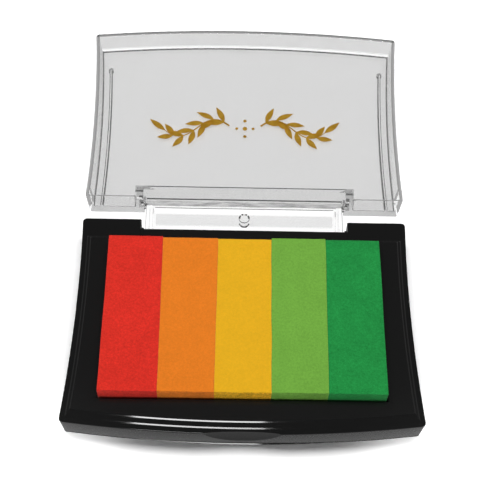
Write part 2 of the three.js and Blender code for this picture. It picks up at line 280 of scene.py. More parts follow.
def rectangle(half_width, front_y, back_y, r):
    """A rectangle with small fillets, with as many points as the plan has."""
    return mirrored(chain(
        straight((0.0, front_y), (half_width - r, front_y), FRONT_STEPS),
        arc((half_width - r, front_y + r), (half_width - r, front_y),
            (half_width, front_y + r), CORNER_STEPS),
        straight((half_width, front_y + r), (half_width, back_y - r), SIDE_STEPS),
        arc((half_width - r, back_y - r), (half_width, back_y - r),
            (half_width - r, back_y), CORNER_STEPS),
        back_run(np.array([half_width - r, back_y]), None),
    ))


def ellipse(x, y, half_x, half_y, steps):
    """An ellipse about a point, by even steps of its angle."""
    angles = np.linspace(0, 2 * math.pi, steps, endpoint=False)
    return np.stack([x + half_x * np.cos(angles), y + half_y * np.sin(angles)], 1)


def circle(x, y, radius, steps):
    """A circle about a point."""
    return ellipse(x, y, radius, radius, steps)


def even(inset, notch_side=0.0, notch_front=0.0):
    """A plan drawn in alike all round, with the notch's sides and front moved out."""
    return plan(inset, inset, inset, (NOTCH_HALF + notch_side, NOTCH_FRONT_Y - notch_front))


# Surfaces from stacked rings.

def ring(outline, z):
    """An outline in plan lifted to a height."""
    return np.column_stack([outline, np.full(len(outline), z)])


def quarter(steps):
    """Sine and versine (one less the cosine) over a quarter turn, for rounding an edge."""
    angles = np.linspace(0, math.pi / 2, steps + 1)
    return list(zip(np.sin(angles), 1 - np.cos(angles)))


def placed(name, data):
    """A new object in the scene."""
    thing = bpy.data.objects.new(name, data)
    bpy.context.scene.collection.objects.link(thing)
    return thing


def piece(name, points, faces, body=None, looks=()):
    """A finished object at the origin from points and faces, with its materials in order."""
    mesh = bpy.data.meshes.new(name)
    mesh.from_pydata(points.tolist(), [], faces)
    mesh.validate()
    thing = placed(name, mesh)
    for material in looks:
        mesh.materials.append(material)
    if body:
        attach(thing, body)
    return thing


def quads_and_caps(levels, count, ends="caps", start=0):
    """The faces over rings with the same number of points, each joined to the next by quads.
    The ends are closed by caps, or by joining the last ring to the first."""
    rows = np.arange(levels if ends == "loop" else levels - 1)[:, None]
    cols = np.arange(count)[None, :]
    upper = (rows + 1) % levels
    across = (cols + 1) % count
    quads = np.stack([rows * count + cols, rows * count + across,
                      upper * count + across, upper * count + cols], -1)
    faces = (start + quads.reshape(-1, 4)).tolist()
    if ends == "caps":
        cap = start + np.arange(count)
        faces += [cap[::-1].tolist(), (cap + (levels - 1) * count).tolist()]
    return faces


def skin(name, rings, ends="caps", body=None, looks=(), finish=None):
    """A surface over rings. A finish gives each quad the number of its material, by row and
    column; the caps have the first."""
    stack = np.array(rings)
    levels, count = stack.shape[:2]
    faces = quads_and_caps(levels, count, ends)
    thing = piece(name, stack.reshape(-1, 3), faces, body, looks)
    if finish is not None:
        numbers = np.zeros(len(faces), dtype=np.int32)
        rows = levels if ends == "loop" else levels - 1
        numbers[:rows * count] = np.broadcast_to(finish, (rows, count)).ravel()
        thing.data.polygons.foreach_set("material_index", numbers)
    return thing


def bars(radius, inner, outer, y, most_y=math.inf):
    """A round bar along X to each side of the middle, at the height of the pivots: circles in
    planes across it, cut off flat at most_y."""
    section = circle(y, AXIS_HEIGHT, radius, 64)
    section[:, 0] = np.minimum(section[:, 0], most_y)
    return [skin("bar", [np.insert(section, 0, x, axis=1)
                         for x in sorted((side * inner, side * outer))])
            for side in (1, -1)]


def shaped(thing, operation, tools):
    """Joins closed solids to a piece or cuts them from it, and keeps the result as its mesh."""
    for tool in tools:
        for material in thing.data.materials:
            tool.data.materials.append(material)
        step = thing.modifiers.new("shape", "BOOLEAN")
        step.operation = operation
        step.solver = "MANIFOLD"
        step.object = tool
    shown = thing.evaluated_get(bpy.context.evaluated_depsgraph_get())
    mesh = bpy.data.meshes.new_from_object(shown)
    thing.modifiers.clear()
    thing.data = mesh
    for tool in tools:
        bpy.data.objects.remove(tool)


def smooth(thing):
    """Smooth shading inside each face and each rounding, with sharp lines where faces meet."""
    thing.data.shade_smooth()
    thing.data.set_sharp_from_angle(angle=SMOOTH_ANGLE)
    weigh = thing.modifiers.new("weigh", "WEIGHTED_NORMAL")
    weigh.keep_sharp = True


# Node trees.

def feed(tree, node, inputs):
    """Gives a node's inputs their values, or links from other sockets."""
    for key, value in inputs.items():
        if isinstance(value, bpy.types.NodeSocket):
            tree.links.new(value, node.inputs[key])
        else:
            node.inputs[key].default_value = value


def put(tree, kind, inputs=None, **settings):
    """A shader node with its settings and its inputs."""
    node = tree.nodes.new("ShaderNode" + kind)
    for key, value in settings.items():
        setattr(node, key, value)
    feed(tree, node, inputs or {})
    return node


def maths(tree, operation, a, b):
    """One arithmetic step on values or sockets."""
    return put(tree, "Math", {0: a, 1: b}, operation=operation).outputs[0]


def times(tree, a, b):
    """The product of two values or sockets."""
    return maths(tree, "MULTIPLY", a, b)


def remap(tree, value, found, wanted):
    """A value carried evenly from the range it is found in to the one wanted, and held there."""
    return put(tree, "MapRange", {
        "Value": value, "From Min": found[0], "From Max": found[1],
        "To Min": wanted[0], "To Max": wanted[1]}).outputs[0]


def noise(tree, place, scale, detail):
    """Soft random patches from 0 to 1, so many to the metre."""
    return put(tree, "TexNoise", {"Vector": place, "Scale": scale, "Detail": detail}).outputs[0]


def own_place(tree):
    """A point's place on the object, in metres."""
    return put(tree, "TexCoord").outputs["Object"]


def upward(tree, vector):
    """The upward part of a place or a direction."""
    return put(tree, "SeparateXYZ", {0: vector}).outputs["Z"]


def by_height(tree, heights, values):
    """A value that goes evenly from one height on the object to another."""
    return remap(tree, upward(tree, own_place(tree)), heights, values)


def grey(tree, tone):
    """A colour without hue."""
    return put(tree, "CombineColor", {0: tone, 1: tone, 2: tone}).outputs[0]


def effect(name, takes, gives):
    """An empty shader node group, from the first values of its inputs and its outputs."""
    group = bpy.data.node_groups.new(name, "ShaderNodeTree")
    for way, labels in (("INPUT", takes), ("OUTPUT", gives)):
        for label, value in labels.items():
            kind = "NodeSocketFloat" if isinstance(value, float) else "NodeSocketColor"
            socket = group.interface.new_socket(label, in_out=way, socket_type=kind)
            socket.default_value = value
    return group, group.nodes.new("NodeGroupInput").outputs, group.nodes.new("NodeGroupOutput")


# Patches to the metre, and the range that most noise keeps to.
FLOW_SCALE = 70.0
GRAIN_SCALE = 2600.0
CELL_SCALE = 3400.0
SPECKLE_SCALE = 1500.0
MOTTLE_SCALE = 260.0
STREAK_SCALE = 1500.0
GOLD_SCALE = 900.0
NOISE_RANGE = (0.3, 0.7)

MID_GREY = (0.5, 0.5, 0.5, 1.0)


def moulded_effect():
    """The skin of a moulding: slow flow marks and a fine grain change its gloss, and the grain
    lifts it by a hair."""
    group, given, out = effect(
        "moulded_skin", {"Gloss": 0.25, "Variation": 0.05, "Grain Size": 1.0},
        {"Roughness": 0.25, "Height": 0.5})
    place = own_place(group)
    grain = noise(group, place, maths(group, "DIVIDE", GRAIN_SCALE, given["Grain Size"]), 2.0)
    both = maths(group, "ADD", noise(group, place, FLOW_SCALE, 3.0), grain)
    swing = times(group, maths(group, "SUBTRACT", both, 1.0), given["Variation"])
    feed(group, out, {"Roughness": maths(group, "ADD", given["Gloss"], swing), "Height": grain})
    return group


# How far the foam's pits, its speckle and its mottle change its colour, and how far up a face
# looks from a cut side to the top.
PIT_RANGE = (0.0, 0.7)
PIT_TONES = (0.86, 1.06)
SPECKLE_TONES = (0.9, 1.1)
MOTTLE_TONES = (0.95, 1.05)
CUT_TO_TOP = (0.3, 0.8)


def foam_effect():
    """Ink-soaked foam: fine cells that darken in their pits, a coarser mottle where ink has
    pooled, and a height for the cells. The cut sides have a grain of their own."""
    group, given, out = effect(
        "ink_foam", {"Colour": MID_GREY, "Grain": 1.0, "Cut Grain": 1.0},
        {"Colour": MID_GREY, "Height": 0.5})
    coordinates = put(group, "TexCoord").outputs
    place = coordinates["Object"]
    turned_up = upward(group, coordinates["Normal"])
    grain = remap(group, turned_up, CUT_TO_TOP, (given["Cut Grain"], given["Grain"]))
    pits = put(group, "TexVoronoi", {"Vector": place, "Scale": CELL_SCALE}).outputs["Distance"]
    speckle = noise(group, place, SPECKLE_SCALE, 3.0)
    mottle = noise(group, place, MOTTLE_SCALE, 2.0)
    tone = times(group, remap(group, pits, PIT_RANGE, PIT_TONES),
                 remap(group, speckle, NOISE_RANGE, SPECKLE_TONES))
    tone = times(group, tone, remap(group, mottle, NOISE_RANGE, MOTTLE_TONES))
    swing = times(group, maths(group, "SUBTRACT", tone, 1.0), grain)
    shade = maths(group, "ADD", swing, 1.0)
    tinted = put(group, "VectorMath", {0: given["Colour"], "Scale": shade}, operation="SCALE")
    feed(group, out, {"Colour": tinted.outputs[0], "Height": maths(group, "ADD", pits, speckle)})
    return group


MOULDED = moulded_effect()
FOAM = foam_effect()


def blank_material(name):
    """A new material with its tree, its surface shader and its output."""
    material = bpy.data.materials.new(name)
    material.use_nodes = True
    tree = material.node_tree
    return material, tree, tree.nodes["Principled BSDF"], tree.nodes["Material Output"]


def moulded(tree, gloss, variation, grain=1.0):
    """What the skin of a moulding gives a material."""
    return put(tree, "Group", {"Gloss": gloss, "Variation": variation, "Grain Size": grain},
               node_tree=MOULDED).outputs


def lifted(tree, shader, height, depth, strength=1.0):
    """Feeds a height to a shader's normal, as relief of a real depth."""
    bump = put(tree, "Bump", {"Height": height, "Distance": depth, "Strength": strength})
    feed(tree, shader, {"Normal": bump.outputs[0]})


def let_through(tree, mask, surface, share):
    """A surface that lets a share of the light straight through where a mask is one."""
    straight_on = put(tree, "BsdfTransparent", {"Color": (share, share, share, 1.0)})
    return put(tree, "MixShader", {0: mask, 1: surface, 2: straight_on.outputs[0]}).outputs[0]


FOOT_PATCHES = (0.7, 1.3)


def black_plastic(name, tone, gloss, variation, relief, grain=1.0, shine=0.5, foot_gloss=0.0):
    """Opaque black moulding, with a further gloss that grows towards its foot, in patches."""
    material, tree, shader, _ = blank_material(name)
    marks = moulded(tree, gloss, variation, grain)
    shade = remap(tree, marks["Height"], (0.0, 1.0), (tone * 0.9, tone * 1.1))
    feed(tree, shader, {"Base Color": grey(tree, shade), "Roughness": marks["Roughness"],
                        "Specular IOR Level": shine, "IOR": 1.5})
    if foot_gloss:
        share = by_height(tree, (0.0, LIP_HEIGHT), (foot_gloss, 0.0))
        patches = remap(tree, marks["Height"], NOISE_RANGE, FOOT_PATCHES)
        feed(tree, shader, {"Coat Weight": times(tree, share, patches), "Coat Roughness": gloss})
    lifted(tree, shader, marks["Height"], relief)
    return material


CLEAR_GLOSS = 0.03
CLEAR_RELIEF = 0.001 * MM
BAND_EDGE = 0.02 * MM

# A clear rod's painted shade, by how far its surface is turned away: painted grey streaks up to
# the first range, and painted dark from the second on. Streaks are long along X.
ROD_MIDDLE = (0.15, 0.22)
ROD_OUTLINE = (0.32, 0.42)
ROD_DARKEST = 0.004
STREAK_RANGE = (0.35, 0.65)
STREAK_TONES = (0.35, 0.9)
STREAK_STRETCH = (0.12, 1.0, 1.0)


def painted_rod_shade(tree):
    """Painted shade for a rod of clear plastic: dark along its two outlines and streaked with grey
    along its middle, standing in for how the rod bends the light. Its far side adds nothing."""
    facing = put(tree, "LayerWeight", {"Blend": 0.5}).outputs["Facing"]
    stretched = put(tree, "VectorMath", {0: own_place(tree), 1: STREAK_STRETCH},
                    operation="MULTIPLY").outputs[0]
    streaks = remap(tree, noise(tree, stretched, STREAK_SCALE, 2.0), STREAK_RANGE, STREAK_TONES)
    near_side = times(tree, remap(tree, facing, ROD_OUTLINE, (1.0, ROD_DARKEST)),
                      remap(tree, facing, ROD_MIDDLE, (streaks, 1.0)))
    far_side = put(tree, "NewGeometry").outputs["Backfacing"]
    return maths(tree, "MAXIMUM", near_side, far_side)


def clear_plastic(name, tint, passed, upper=None, bend=1.59, with_painted_rod_shade=False):
    """Clear moulding that bends what is seen through it and lets the lamps through to the table.
    A fine grain changes its tint. Above the height in upper, it has the tint given there."""
    material, tree, shader, output = blank_material(name)
    marks = moulded(tree, CLEAR_GLOSS, CLEAR_GLOSS)
    tone = remap(tree, marks["Height"], NOISE_RANGE, (tint * 0.97, tint * 1.03))
    # On the lid's walls, a tint that changes with height paints a bright band low down.
    if upper:
        height, upper_tint = upper
        share = by_height(tree, (height, height + BAND_EDGE), (1.0, upper_tint / tint))
        tone = times(tree, tone, share)
    # A rod is given painted shade along its outlines and painted grey streaks along its middle.
    if with_painted_rod_shade:
        tone = times(tree, tone, painted_rod_shade(tree))
    feed(tree, shader, {"Base Color": grey(tree, tone), "Roughness": marks["Roughness"],
                        "Transmission Weight": 1.0, "IOR": bend})
    lifted(tree, shader, marks["Height"], CLEAR_RELIEF)
    path = put(tree, "LightPath").outputs
    surface = let_through(tree, path["Is Reflection Ray"], shader.outputs[0], 1.0)
    surface = let_through(tree, path["Is Diffuse Ray"], surface, passed)
    surface = let_through(tree, path["Is Shadow Ray"], surface, passed)
    feed(tree, output, {"Surface": surface})
    return material


# The gold's shades, from its dark spots to its thickest ink, at the noise where each is reached.
GOLD_SHADES = [(0.3, (0.36, 0.19, 0.012, 1.0)), (0.65, (0.52, 0.3, 0.03, 1.0))]
GOLD_PASSED = 0.85


def gold_ink(name):
    """Printed gold: a warm yellow-brown with a little metal in it, thinner and darker in spots.
    It is thin enough to let most of a lamp's light through."""
    material, tree, shader, output = blank_material(name)
    patches = noise(tree, own_place(tree), GOLD_SCALE, 3.0)
    shades = put(tree, "ValToRGB", {0: patches})
    for element, (position, shade) in zip(shades.color_ramp.elements, GOLD_SHADES):
        element.position = position
        element.color = shade
    feed(tree, shader, {"Base Color": shades.outputs[0], "Metallic": 0.2, "Roughness": 0.42})
    lifted(tree, shader, patches, 0.004 * MM)
    lamps = put(tree, "LightPath").outputs["Is Shadow Ray"]
    feed(tree, output, {"Surface": let_through(tree, lamps, shader.outputs[0], GOLD_PASSED)})
    return material


def foam(name, colour, grain, cut_grain):
    """Open-celled foam soaked in pigment ink, which shows its grain more in some colours."""
    material, tree, shader, _ = blank_material(name)
    cells = put(tree, "Group", {"Colour": (*colour, 1.0), "Grain": grain, "Cut Grain": cut_grain},
                node_tree=FOAM).outputs
    feed(tree, shader, {
        "Base Color": cells["Colour"], "Roughness": 0.85, "Specular IOR Level": 0.04,
        "Sheen Weight": 0.25, "Sheen Roughness": 0.4})
    lifted(tree, shader, cells["Height"], 0.05 * MM, 0.6)
    return material


# Tray.

# The materials of a piece are numbered in the order in which it is given them.
TRAY_STEPS, TRAY_WALLS, TRAY_DECK, TRAY_THUMB = range(4)
# Where an outline goes across by less than this share of how far it goes along, it is a side.
TRAY_ACROSS = 0.4


def ramp(rise, slope_angle, blend):
    """Pairs of distance and height along a ramp whose slope comes in and goes out evenly, so that
    its two ends are parabolas as long as blend."""
    slope = math.tan(slope_angle)
    run = rise / slope
    ends = np.linspace(0, blend, 5)
    bend = slope * ends * ends / (2 * blend)
    return zip(np.concatenate([ends, run + blend - ends[::-1]]),
               np.concatenate([bend, rise - bend[::-1]]))


def stepped(z, slope_angle, front, side, back):
    """Rings of one low step that starts so far in from the tray's front, sides and back."""
    return [ring(plan(front + inset, side + inset, back + inset), z + height)
            for inset, height in ramp(STEP_RISE, slope_angle, STEP_BLEND)]


def steps_of(outline):
    """How far an outline goes across and along from each point to the next."""
    return np.abs(np.roll(outline, -1, 0) - outline)


def build_tray(*looks):
    """One closed surface carried round the outline: up the outside wall, over the lip and the
    two steps, across the deck to the window, and back under the deck to the foot. The wall is
    textured, the deck a little duller than the steps, and the thumb scoop smooth."""
    pads_lo = np.array(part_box("pad_red")[0])
    pads_hi = np.array(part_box("pad_green")[1])
    window_half = pads_hi[0] + WINDOW_CLEARANCE
    window_front = pads_lo[1] - WINDOW_CLEARANCE
    window_back = pads_hi[1] + WINDOW_CLEARANCE

    def window(inset):
        """The outline of the window, that far out from its edge."""
        return rectangle(window_half + inset, window_front - inset, window_back + inset,
                         SMALLEST_RADIUS + inset)

    def foot(inset):
        """The outline at the foot, drawn in."""
        return plan(TRAY_DRAFT + inset, SIDE_DRAFT + inset, TRAY_DRAFT + inset,
                    (NOTCH_HALF, NOTCH_FRONT_Y))

    wall_foot = foot(0.0)
    size = np.maximum(np.exp(-(wall_foot[:, :1] / FOOT_BEAD_REACH) ** 2), SMALLEST_BEAD)

    def beaded(inset):
        """The foot's outline, moved out by a bead that fades from the middle as a bell curve."""
        return wall_foot + (foot(inset - FOOT_BEAD) - wall_foot) * size

    def fuller(level):
        """A ring with its front moved out, most in the middle, as a parabola."""
        bow = FRONT_FULLNESS * (1 - (2 * level[:, 0] / FRONT_WIDTH) ** 2) * (level[:, 1] < 0)
        return level - bow[:, None] * (0, 1, 0)

    bead = FOOT_CHAMFER + FOOT_BEAD_TOP
    rings = [ring(beaded(FOOT_CHAMFER), 0.0), ring(beaded(0.0), FOOT_CHAMFER)]
    rings += [ring(beaded(inset), bead + up * size[:, 0])
              for up, inset in ramp(FOOT_BEAD, math.pi / 2 - FOOT_SLOPE, FOOT_BLEND)]
    wall_row = len(rings) - 1
    for sine, versine in quarter(8):
        drop = LIP_ROUND * versine
        rings.append(ring(even(drop, drop / 2, drop / 2), LIP_HEIGHT - LIP_ROUND * (1 - sine)))
    step_row = len(rings)
    rings += stepped(LIP_HEIGHT, LOWER_SLOPE, LIP_WIDTH, LIP_WIDTH, BACK_SHELF)
    rings += stepped(BAND_HEIGHT, STEP_SLOPE, LIP_WIDTH + FRONT_BAND, LIP_WIDTH + SIDE_BAND,
                     BACK_SHELF + BACK_BAND)
    deck_row = len(rings) - 1
    rings = [fuller(level) for level in rings]
    rings += [ring(window(WINDOW_ROUND * (1 - sine)), DECK_HEIGHT - WINDOW_ROUND * versine)
              for sine, versine in quarter(4)]
    rings += [
        ring(window(0.0), DECK_UNDERSIDE),
        ring(even(TRAY_WALL, TRAY_CHEEK, NOTCH_WALL), DECK_UNDERSIDE),
        ring(even(TRAY_DRAFT + TRAY_WALL, TRAY_CHEEK, NOTCH_WALL), 0.0),
    ]
    finish = np.full((len(rings), len(rings[0])), TRAY_STEPS)
    finish[wall_row] = TRAY_WALLS
    finish[deck_row] = TRAY_DECK
    edge = rings[deck_row][:, :2]
    across, along = steps_of(edge).T
    on_side = (across < TRAY_ACROSS * along) & (np.abs(edge[:, 0]) > NOTCH_HALF + NOTCH_WALL)
    finish[step_row:deck_row, on_side] = TRAY_DECK
    tray = skin("tray_shell", rings, "loop", "tray", looks, finish)

    # The thumb scoop: level slices of an ellipsoid that stands with its middle at the lip.
    scoop = skin("scoop", [
        ring(ellipse(0.0, FRONT_Y - FRONT_FULLNESS, SCOOP_WIDTH / 2 * math.cos(a),
                     SCOOP_DEPTH * math.cos(a), 96), LIP_HEIGHT + SCOOP_HEIGHT * math.sin(a))
        for a in np.linspace(-math.pi / 2, math.pi / 2, 33)[1:-1]
    ], finish=TRAY_THUMB)
    shaped(tray, "UNION", pivot_bosses(TRAY_CHEEK, TRAY_DRAFT))
    shaped(tray, "DIFFERENCE", [scoop] + pivot_bores())
    smooth(tray)
    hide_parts("base_tray")


# What the pins of the link turn in. The lid is made over the tray, so both have them there.

def pivot_bosses(wall, draft):
    """A round boss at each end of the notch, standing a little into it and cut flat at the back."""
    return bars(BOSS_RADIUS, NOTCH_HALF - BOSS_PROUD, NOTCH_HALF + wall / 2, TRAY_AXIS_Y,
                BACK_Y - draft)


def pivot_bores():
    """The round holes for the pins, running into the walls beside the notch."""
    return bars(PIN_RADIUS + BORE_CLEARANCE, LINK_HALF, LINK_HALF + PIN_LENGTH + BORE_CLEARANCE,
                TRAY_AXIS_Y)


# Lid.

LID_CLEAR, LID_WALLS, LID_PAINTED_DARK, LID_PAINTED_FAINT, LID_BACK, LID_SIDES = range(6)
LID_ACROSS = 0.3
# How many rows of the fillet lie before its painted dark line and in it, and how many rows of
# the rim are painted dark in the notch.
LINE_ROWS = 3
NOTCH_LINE_ROWS = 4


def rib_x(y):
    """How far from the middle a rib runs at y: on an arc about the centre of the side's arc."""
    reach = SIDE_RADIUS + RIB_INSET + RIB_WIDTH / 2
    return SIDE_CENTRE[0] - np.sqrt(reach ** 2 - (y - SIDE_CENTRE[1]) ** 2)


def side_rib(side):
    """A low rib that follows the lid's side: a rounded section carried along the side's arc."""
    y = np.linspace(CORNER_Y + RIB_FRONT_GAP, BACK_Y - LID_RIM / 2, 40)[:, None]
    root = LID_PLATE / 2
    half = RIB_WIDTH / 2
    crown = [(half - RIB_ROUND * (1 - math.cos(a)),
              LID_PLATE + RIB_HEIGHT - RIB_ROUND * (1 - math.sin(a)))
             for a in np.linspace(0, math.pi / 2, 5)]
    section = [(half, root)] + crown + [(-u, z) for u, z in crown[::-1]] + [(-half, root)]
    u, z = np.array(section).T
    x = side * rib_x(y) + u
    points = np.stack([x, np.broadcast_to(y, x.shape), np.broadcast_to(z, x.shape)], -1)
    # The rib's sides and rounded edges are painted near black as dark lines; its flat top and its
    # foot stay clear.
    finish = np.full((1, len(section)), LID_PAINTED_DARK)
    finish[0, [len(crown), -1]] = LID_CLEAR
    return skin("rib", points[:, ::-1], finish=finish)


def rib_end(side):
    """The round stud at the front end of a rib, with a domed top: a profile turned about an
    upright line, so that each of its points makes a circle."""
    y = CORNER_Y + RIB_FRONT_GAP
    top = LID_PLATE + RIB_HEIGHT + RIB_END_RISE
    dome = [(RIB_END_RADIUS * math.cos(a), top - RIB_END_RADIUS * (1 - math.sin(a)))
            for a in np.linspace(0, math.pi / 2 * 0.97, 9)]
    return skin("stud", [ring(circle(side * rib_x(y), y, radius, 40), z)
                         for radius, z in [(RIB_END_RADIUS, LID_PLATE / 2)] + dome])


def build_lid(*looks):
    """A thin shell from stacked outlines: over the plate's rounded edge, up the wall, across the
    rim, down the inside and over the inner fillet to the floor. The middle of the fillet is
    painted near black as a dark line, standing in for the light it would turn away, and so are
    the rim's edges in the notch and at the front corners and the sides of the ribs. The rest of
    the rim's outer edge is painted with a fainter dark line. The walls are painted as a bright
    band low down and greyer above. It is made in the tray's place, rim up, and then turned half
    round to lie open behind."""
    wall_top = LID_HEIGHT - LID_RIM_ROUND
    rings = [ring(even(LID_DRAFT + LID_EDGE_ROUND * (1 - sine)), LID_EDGE_ROUND * versine)
             for sine, versine in quarter(10)]
    outer_rows = len(rings)
    for sine, versine in quarter(5):
        drop = LID_RIM_ROUND * versine
        rings.append(ring(even(drop, drop / 2, drop / 2), wall_top + LID_RIM_ROUND * sine))
    rim_row = len(rings)
    inward = LID_RIM_ROUND + RIM_LINE
    rings.append(ring(even(LID_RIM - inward, LID_EAR - inward, NOTCH_WALL - inward), LID_HEIGHT))
    for sine, versine in quarter(5)[::-1]:
        drop = LID_RIM_ROUND * versine
        rings.append(ring(even(LID_RIM - drop, LID_EAR - drop, NOTCH_WALL - drop),
                          wall_top + LID_RIM_ROUND * sine))
    inner_row = len(rings) - 1
    for sine, versine in quarter(8):
        spread = LID_INNER_ROUND * versine
        inner = even(LID_RIM + LID_INNER_DRAFT + spread, LID_EAR + spread, NOTCH_WALL + spread)
        rings.append(ring(inner, LID_PLATE + LID_INNER_ROUND * (1 - sine)))
    line_row = inner_row + 1 + LINE_ROWS

    edge = rings[rim_row][:, :2]
    across, along = steps_of(edge).T
    at_back = edge[:, 1] > NOTCH_FRONT_Y - NOTCH_WALL
    in_notch = at_back & (np.abs(edge[:, 0]) < NOTCH_HALF)
    on_ear = at_back & ~in_notch & (np.abs(edge[:, 0]) < NOTCH_HALF + LID_EAR)
    on_side = ~at_back & (across < LID_ACROSS * along)
    in_corner = (edge[:, 1] < 0) & (
        np.minimum(across, along) > LID_ACROSS * np.maximum(across, along))
    # These rows and columns are painted to stand in for how the plastic bends the light: near-black
    # lines at the fillet, the notch's rim and the front corners, a fainter one on the rim's outer
    # edge, and side walls painted lighter.
    finish = np.full((len(rings) - 1, len(edge)), LID_WALLS)
    finish[line_row:line_row + LINE_ROWS] = LID_PAINTED_DARK
    finish[line_row + LINE_ROWS:] = LID_CLEAR
    finish[inner_row, at_back] = LID_BACK
    finish[:rim_row, at_back] = LID_BACK
    finish[outer_rows:rim_row] = LID_PAINTED_FAINT
    finish[outer_rows:rim_row, at_back & ~on_ear] = LID_BACK
    finish[rim_row:rim_row + NOTCH_LINE_ROWS, in_notch] = LID_PAINTED_DARK
    finish[:rim_row, on_side] = LID_SIDES
    finish[inner_row, on_side] = LID_SIDES
    finish[outer_rows:rim_row + 1, in_corner] = LID_PAINTED_DARK
    lid = skin("lid_shell", rings, "caps", "lid", looks, finish)
    ribs = [make(side) for make in (side_rib, rib_end) for side in (-1, 1)]
    shaped(lid, "UNION", ribs + pivot_bosses(LID_EAR, LID_DRAFT))
    shaped(lid, "DIFFERENCE", pivot_bores())
    lid.data.transform(Matrix.Translation((0, TRAY_AXIS_Y + LID_AXIS_Y, 0))
                       @ Matrix.Rotation(math.pi, 4, "Z"))
    smooth(lid)
    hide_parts("lid")


# Ornament, of no maker's: two leafy sprigs that mirror each other, and a few dots between.

ORNAMENT_Y = LID_AXIS_Y + 30.5 * MM
INK_SUNK = 0.01 * MM
INK_PROUD = 0.015 * MM
SPRIG_START = 5.0 * MM
SPRIG_REACH = 20.5 * MM
SPRIG_WAVE = 3.4 * MM
SPRIG_TURNS = (0.05, 0.95)
STEM_WIDTH = 0.32 * MM
STEM_TAPER = 0.6
LEAF_LENGTH = 6.8 * MM
LEAF_WIDTH = 1.1 * MM
LEAF_TURN = math.radians(40)
LEAF_BEND = 0.12
LEAF_TAPER = 0.25
LEAF_SHRINK = 0.25
LEAF_PLACES = np.linspace(0.08, 0.86, 6)
TIP_PLACE = 0.99
DOT_STEPS = 28
SIDE_DOT_X = 2.6 * MM
SIDE_DOT_RADIUS = 0.5 * MM
MIDDLE_DOTS = [(-3.1 * MM, 0.55 * MM), (0.0, 0.75 * MM), (3.1 * MM, 0.55 * MM)]


def stem_point(s):
    """The stem's middle line: even steps outwards, on one slow sine wave across."""
    first, last = SPRIG_TURNS
    turn = 2 * math.pi * (first + (last - first) * s)
    return np.stack([SPRIG_START + SPRIG_REACH * s, SPRIG_WAVE * np.sin(turn)], -1)


def stem():
    """A ribbon along the middle line that tapers to its tip: the line moved to either side."""
    s = np.linspace(0, 1, 60)
    line = stem_point(s)
    along = np.gradient(line, axis=0)
    across = np.stack([-along[:, 1], along[:, 0]], 1) / np.hypot(*along.T)[:, None]
    half = (STEM_WIDTH * (1 - STEM_TAPER * s))[:, None]
    return np.concatenate([line - across * half, (line + across * half)[::-1]])


def leaf(s, turn, length):
    """A pointed leaf that starts on the stem: half a sine wave to either side of a line that
    curves a little towards the stem's tip."""
    foot, ahead = stem_point(np.array([s, s + 0.01]))
    heading = math.atan2(*(ahead - foot)[::-1]) + turn
    t = np.linspace(0, 1, 22)
    bend = -LEAF_BEND * np.sign(turn) * t * t
    wide = LEAF_WIDTH * np.sin(math.pi * t) * (1 - LEAF_TAPER * t)
    u = np.concatenate([t, t[-2:0:-1]]) * length
    v = np.concatenate([bend * length - wide, (bend * length + wide)[-2:0:-1]])
    return foot + np.stack([u * math.cos(heading) - v * math.sin(heading),
                            u * math.sin(heading) + v * math.cos(heading)], 1)


def build_ornament(material):
    """Flat shapes printed on the plate: each outline carried up through the thickness of the
    ink, with both ends closed. Outlines run anticlockwise, so that the faces point outwards."""
    half = [stem(), leaf(TIP_PLACE, 0.0, LEAF_LENGTH)]
    half += [leaf(s, side * LEAF_TURN, LEAF_LENGTH * (1 - LEAF_SHRINK * s))
             for s in LEAF_PLACES for side in (-1, 1)]
    half += [circle(SIDE_DOT_X, 0.0, SIDE_DOT_RADIUS, DOT_STEPS)]
    outlines = [outline * (side, 1) for outline in half for side in (-1, 1)]
    outlines += [circle(0.0, y, radius, DOT_STEPS) for y, radius in MIDDLE_DOTS]
    points = []
    faces = []
    start = 0
    for outline in outlines:
        x, y = outline.T
        if (x * np.roll(y, -1) - np.roll(x, -1) * y).sum() < 0:
            outline = outline[::-1]
        outline = outline + (0.0, ORNAMENT_Y)
        points += [ring(outline, LID_PLATE - INK_SUNK), ring(outline, LID_PLATE + INK_PROUD)]
        faces += quads_and_caps(2, len(outline), start=start)
        start += 2 * len(outline)
    piece("lid_ornament", np.concatenate(points), faces, "lid", [material])


# Hinge link.

LINK_PLAIN, LINK_PANEL_AND_PAINTED_LINES, LINK_ROD, LINK_PAINTED_RING = range(4)

# Faint lines painted darker across each end block, where its edge bends the light: how far out
# from the middle of its edge, and half a width.
PAINTED_BLOCK_LINES = (0.1 * MM, 1.1 * MM)
PAINTED_BLOCK_LINE_HALF = 0.15 * MM

# Painted dark arcs of the ring, standing in for the light its ridge turns away: whether on top,
# how much nearer the tray than the ring, half a width, and between which bearings, in degrees
# from straight towards the lid.
PAINTED_RING_ARCS = [
    (True, 0.0, 0.25 * MM, 14, 38),
    (True, 0.0, 0.25 * MM, 50, 100),
    (False, GATE_RING_UNDER, 0.19 * MM, 100, 181),
]
# Where the ring's ridge ends and how wide its soft edge is, in halves of its width.
RING_END = 1.3
RING_SOFT = 0.6
NEAR_RING = 1.2 * GATE_RING_RADIUS


def smooth_step(t):
    """Nought below 0, one above 1, and a soft rise between."""
    t = np.clip(t, 0, 1)
    return t * t * (3 - 2 * t)


def about(centre, reach, steps):
    """Even steps to a reach on both sides of a place."""
    return np.linspace(centre - reach, centre + reach, steps)


